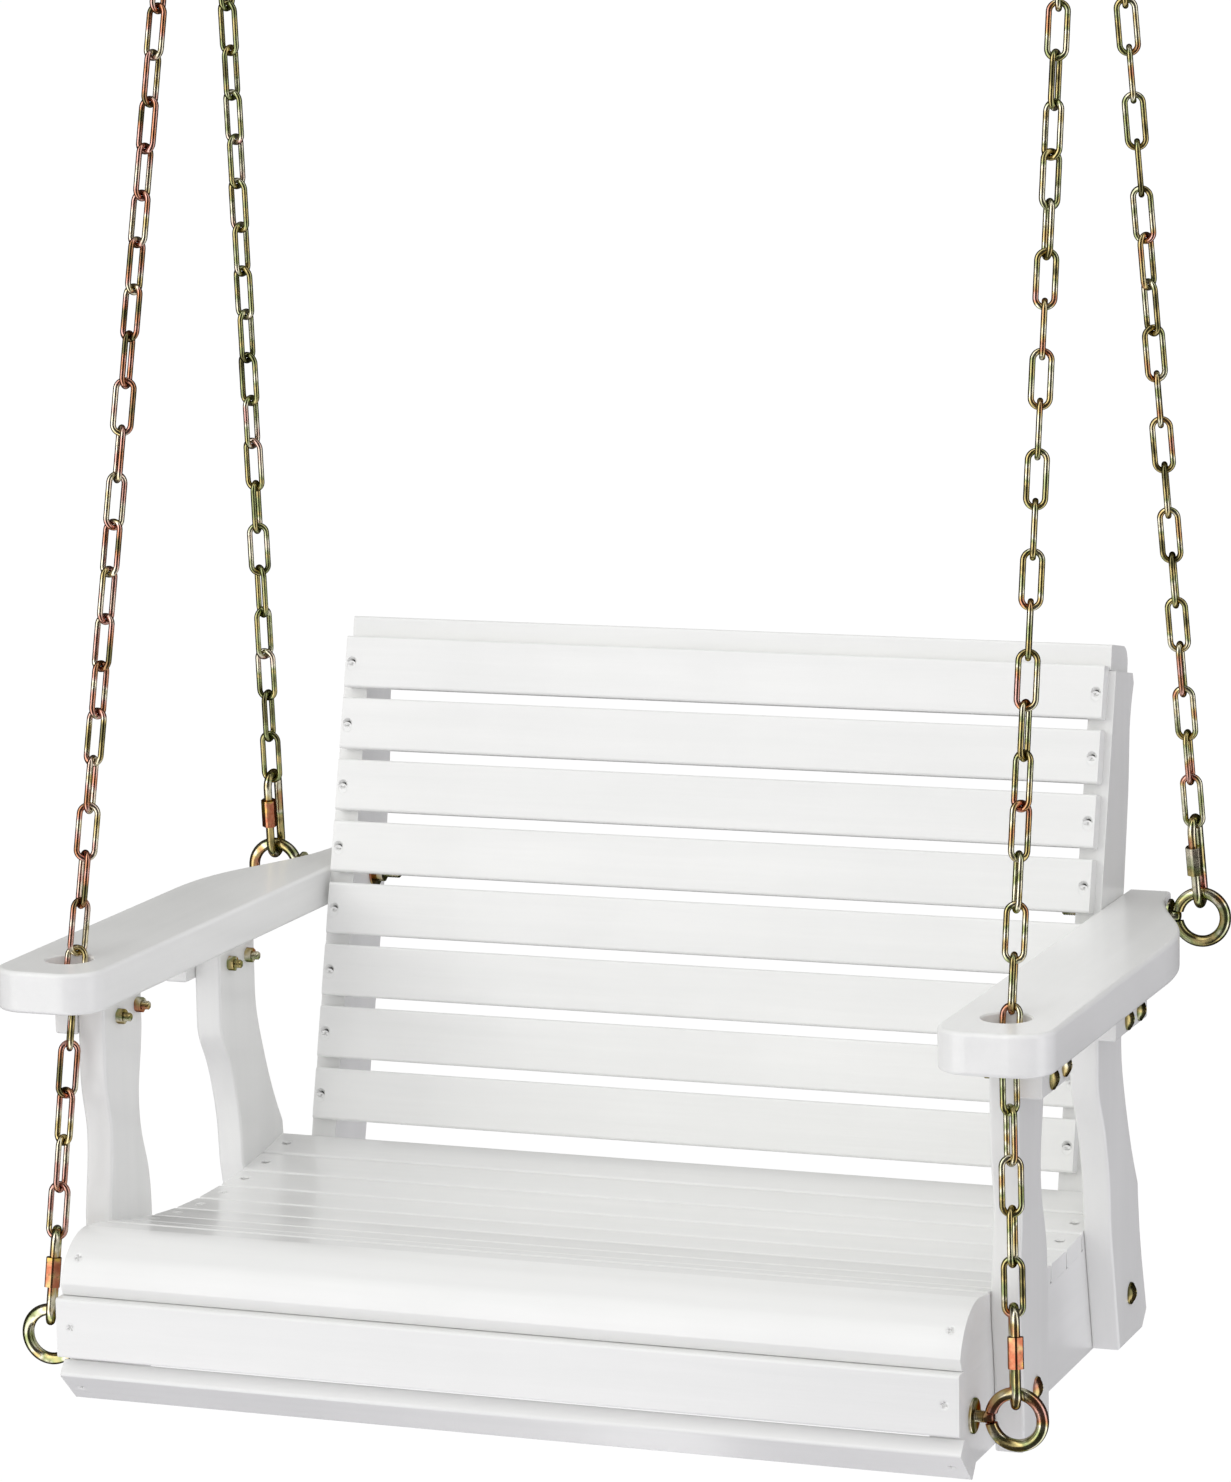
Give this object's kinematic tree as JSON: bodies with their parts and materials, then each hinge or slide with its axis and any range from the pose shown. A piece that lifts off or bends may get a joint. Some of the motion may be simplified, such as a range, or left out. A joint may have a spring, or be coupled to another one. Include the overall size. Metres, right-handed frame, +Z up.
{
  "type": "porch swing seat",
  "caption": "Single-seat slatted wooden porch swing with curved seat, reclined back, flat arms and waisted posts, hung by two pairs of chains and quick links from ceiling hooks.",
  "frame": {"origin": "on the ceiling plane, midway between the shanks of the two ceiling hooks", "axes": "+Z up, +Y towards the back of the seat, +X towards the sitter's left"},
  "size_m": [0.74, 0.5047, 1.3712],
  "materials": {
    "painted_wood": "white satin paint over smooth-planed boards",
    "painted_screws": "countersunk steel screws painted over with the boards",
    "yellow_zinc": "yellow-passivated zinc on steel, with faint rainbow tints",
    "sleeve_zinc": "yellow-passivated zinc on steel, coppery",
    "hook_steel": "yellow-passivated zinc on steel"
  },
  "bodies": {
    "hanger": {"ceiling_hook_left": "hook_steel", "ceiling_hook_right": "hook_steel"},
    "swing": {"arm_left": "painted_wood", "arm_right": "painted_wood", "back_cap_slat": "painted_wood", "back_slat_1": "painted_wood", "back_slat_2": "painted_wood", "back_slat_3": "painted_wood", "back_slat_4": "painted_wood", "back_slat_5": "painted_wood", "back_slat_6": "painted_wood", "back_slat_7": "painted_wood", "back_slat_8": "painted_wood", "back_stile_left": "painted_wood", "back_stile_right": "painted_wood", "chain_front_left": "yellow_zinc", "chain_front_right": "yellow_zinc", "chain_rear_left": "yellow_zinc", "chain_rear_right": "yellow_zinc", "eye_bolt_nuts": "yellow_zinc", "eye_bolt_washers": "yellow_zinc", "eye_bolts": "yellow_zinc", "frame_bolt_nuts": "yellow_zinc", "frame_bolt_washers": "yellow_zinc", "frame_bolts": "yellow_zinc", "frame_screws": "yellow_zinc", "front_cleat_left": "painted_wood", "front_cleat_right": "painted_wood", "front_post_left": "painted_wood", "front_post_right": "painted_wood", "quick_link_front_left": "yellow_zinc", "quick_link_front_right": "yellow_zinc", "quick_link_rear_left": "yellow_zinc", "quick_link_rear_right": "yellow_zinc", "quick_link_top_left": "yellow_zinc", "quick_link_top_right": "yellow_zinc", "rear_cleat_left": "painted_wood", "rear_cleat_right": "painted_wood", "rear_post_left": "painted_wood", "rear_post_right": "painted_wood", "seat_front_slat": "painted_wood", "seat_nosing": "painted_wood", "seat_rail_left": "painted_wood", "seat_rail_right": "painted_wood", "seat_slat_1": "painted_wood", "seat_slat_2": "painted_wood", "seat_slat_3": "painted_wood", "seat_slat_4": "painted_wood", "seat_slat_5": "painted_wood", "seat_slat_6": "painted_wood", "seat_slat_7": "painted_wood", "seat_slat_8": "painted_wood", "seat_under_slat": "painted_wood", "slat_screws": "painted_screws"},
    "sleeve_front_right": {"link_sleeve_front_right": "sleeve_zinc"},
    "sleeve_front_left": {"link_sleeve_front_left": "sleeve_zinc"},
    "sleeve_rear_right": {"link_sleeve_rear_right": "sleeve_zinc"},
    "sleeve_rear_left": {"link_sleeve_rear_left": "sleeve_zinc"},
    "sleeve_top_right": {"link_sleeve_top_right": "sleeve_zinc"},
    "sleeve_top_left": {"link_sleeve_top_left": "sleeve_zinc"}
  },
  "joints": [
    {"name": "swing", "type": "hinge", "parent": "hanger", "child": "swing", "pos_m": [0, 0, -0.052], "axis": [1, 0, 0], "range_deg": [-30, 30]},
    {"name": "sleeve_front_right_slide", "type": "slide", "parent": "swing", "child": "sleeve_front_right", "axis": [0.0509, -0.1222, -0.9912], "range_m": [0, 0.0135]},
    {"name": "sleeve_front_left_slide", "type": "slide", "parent": "swing", "child": "sleeve_front_left", "axis": [-0.0509, -0.1222, -0.9912], "range_m": [0, 0.0135]},
    {"name": "sleeve_rear_right_slide", "type": "slide", "parent": "swing", "child": "sleeve_rear_right", "axis": [0.0407, 0.1644, -0.9856], "range_m": [0, 0.0135]},
    {"name": "sleeve_rear_left_slide", "type": "slide", "parent": "swing", "child": "sleeve_rear_left", "axis": [-0.0407, 0.1644, -0.9856], "range_m": [0, 0.0135]},
    {"name": "sleeve_top_right_slide", "type": "slide", "parent": "swing", "child": "sleeve_top_right", "axis": [0, 0, -1], "range_m": [0, 0.0135]},
    {"name": "sleeve_top_left_slide", "type": "slide", "parent": "swing", "child": "sleeve_top_left", "axis": [0, 0, -1], "range_m": [0, 0.0135]}
  ]
}
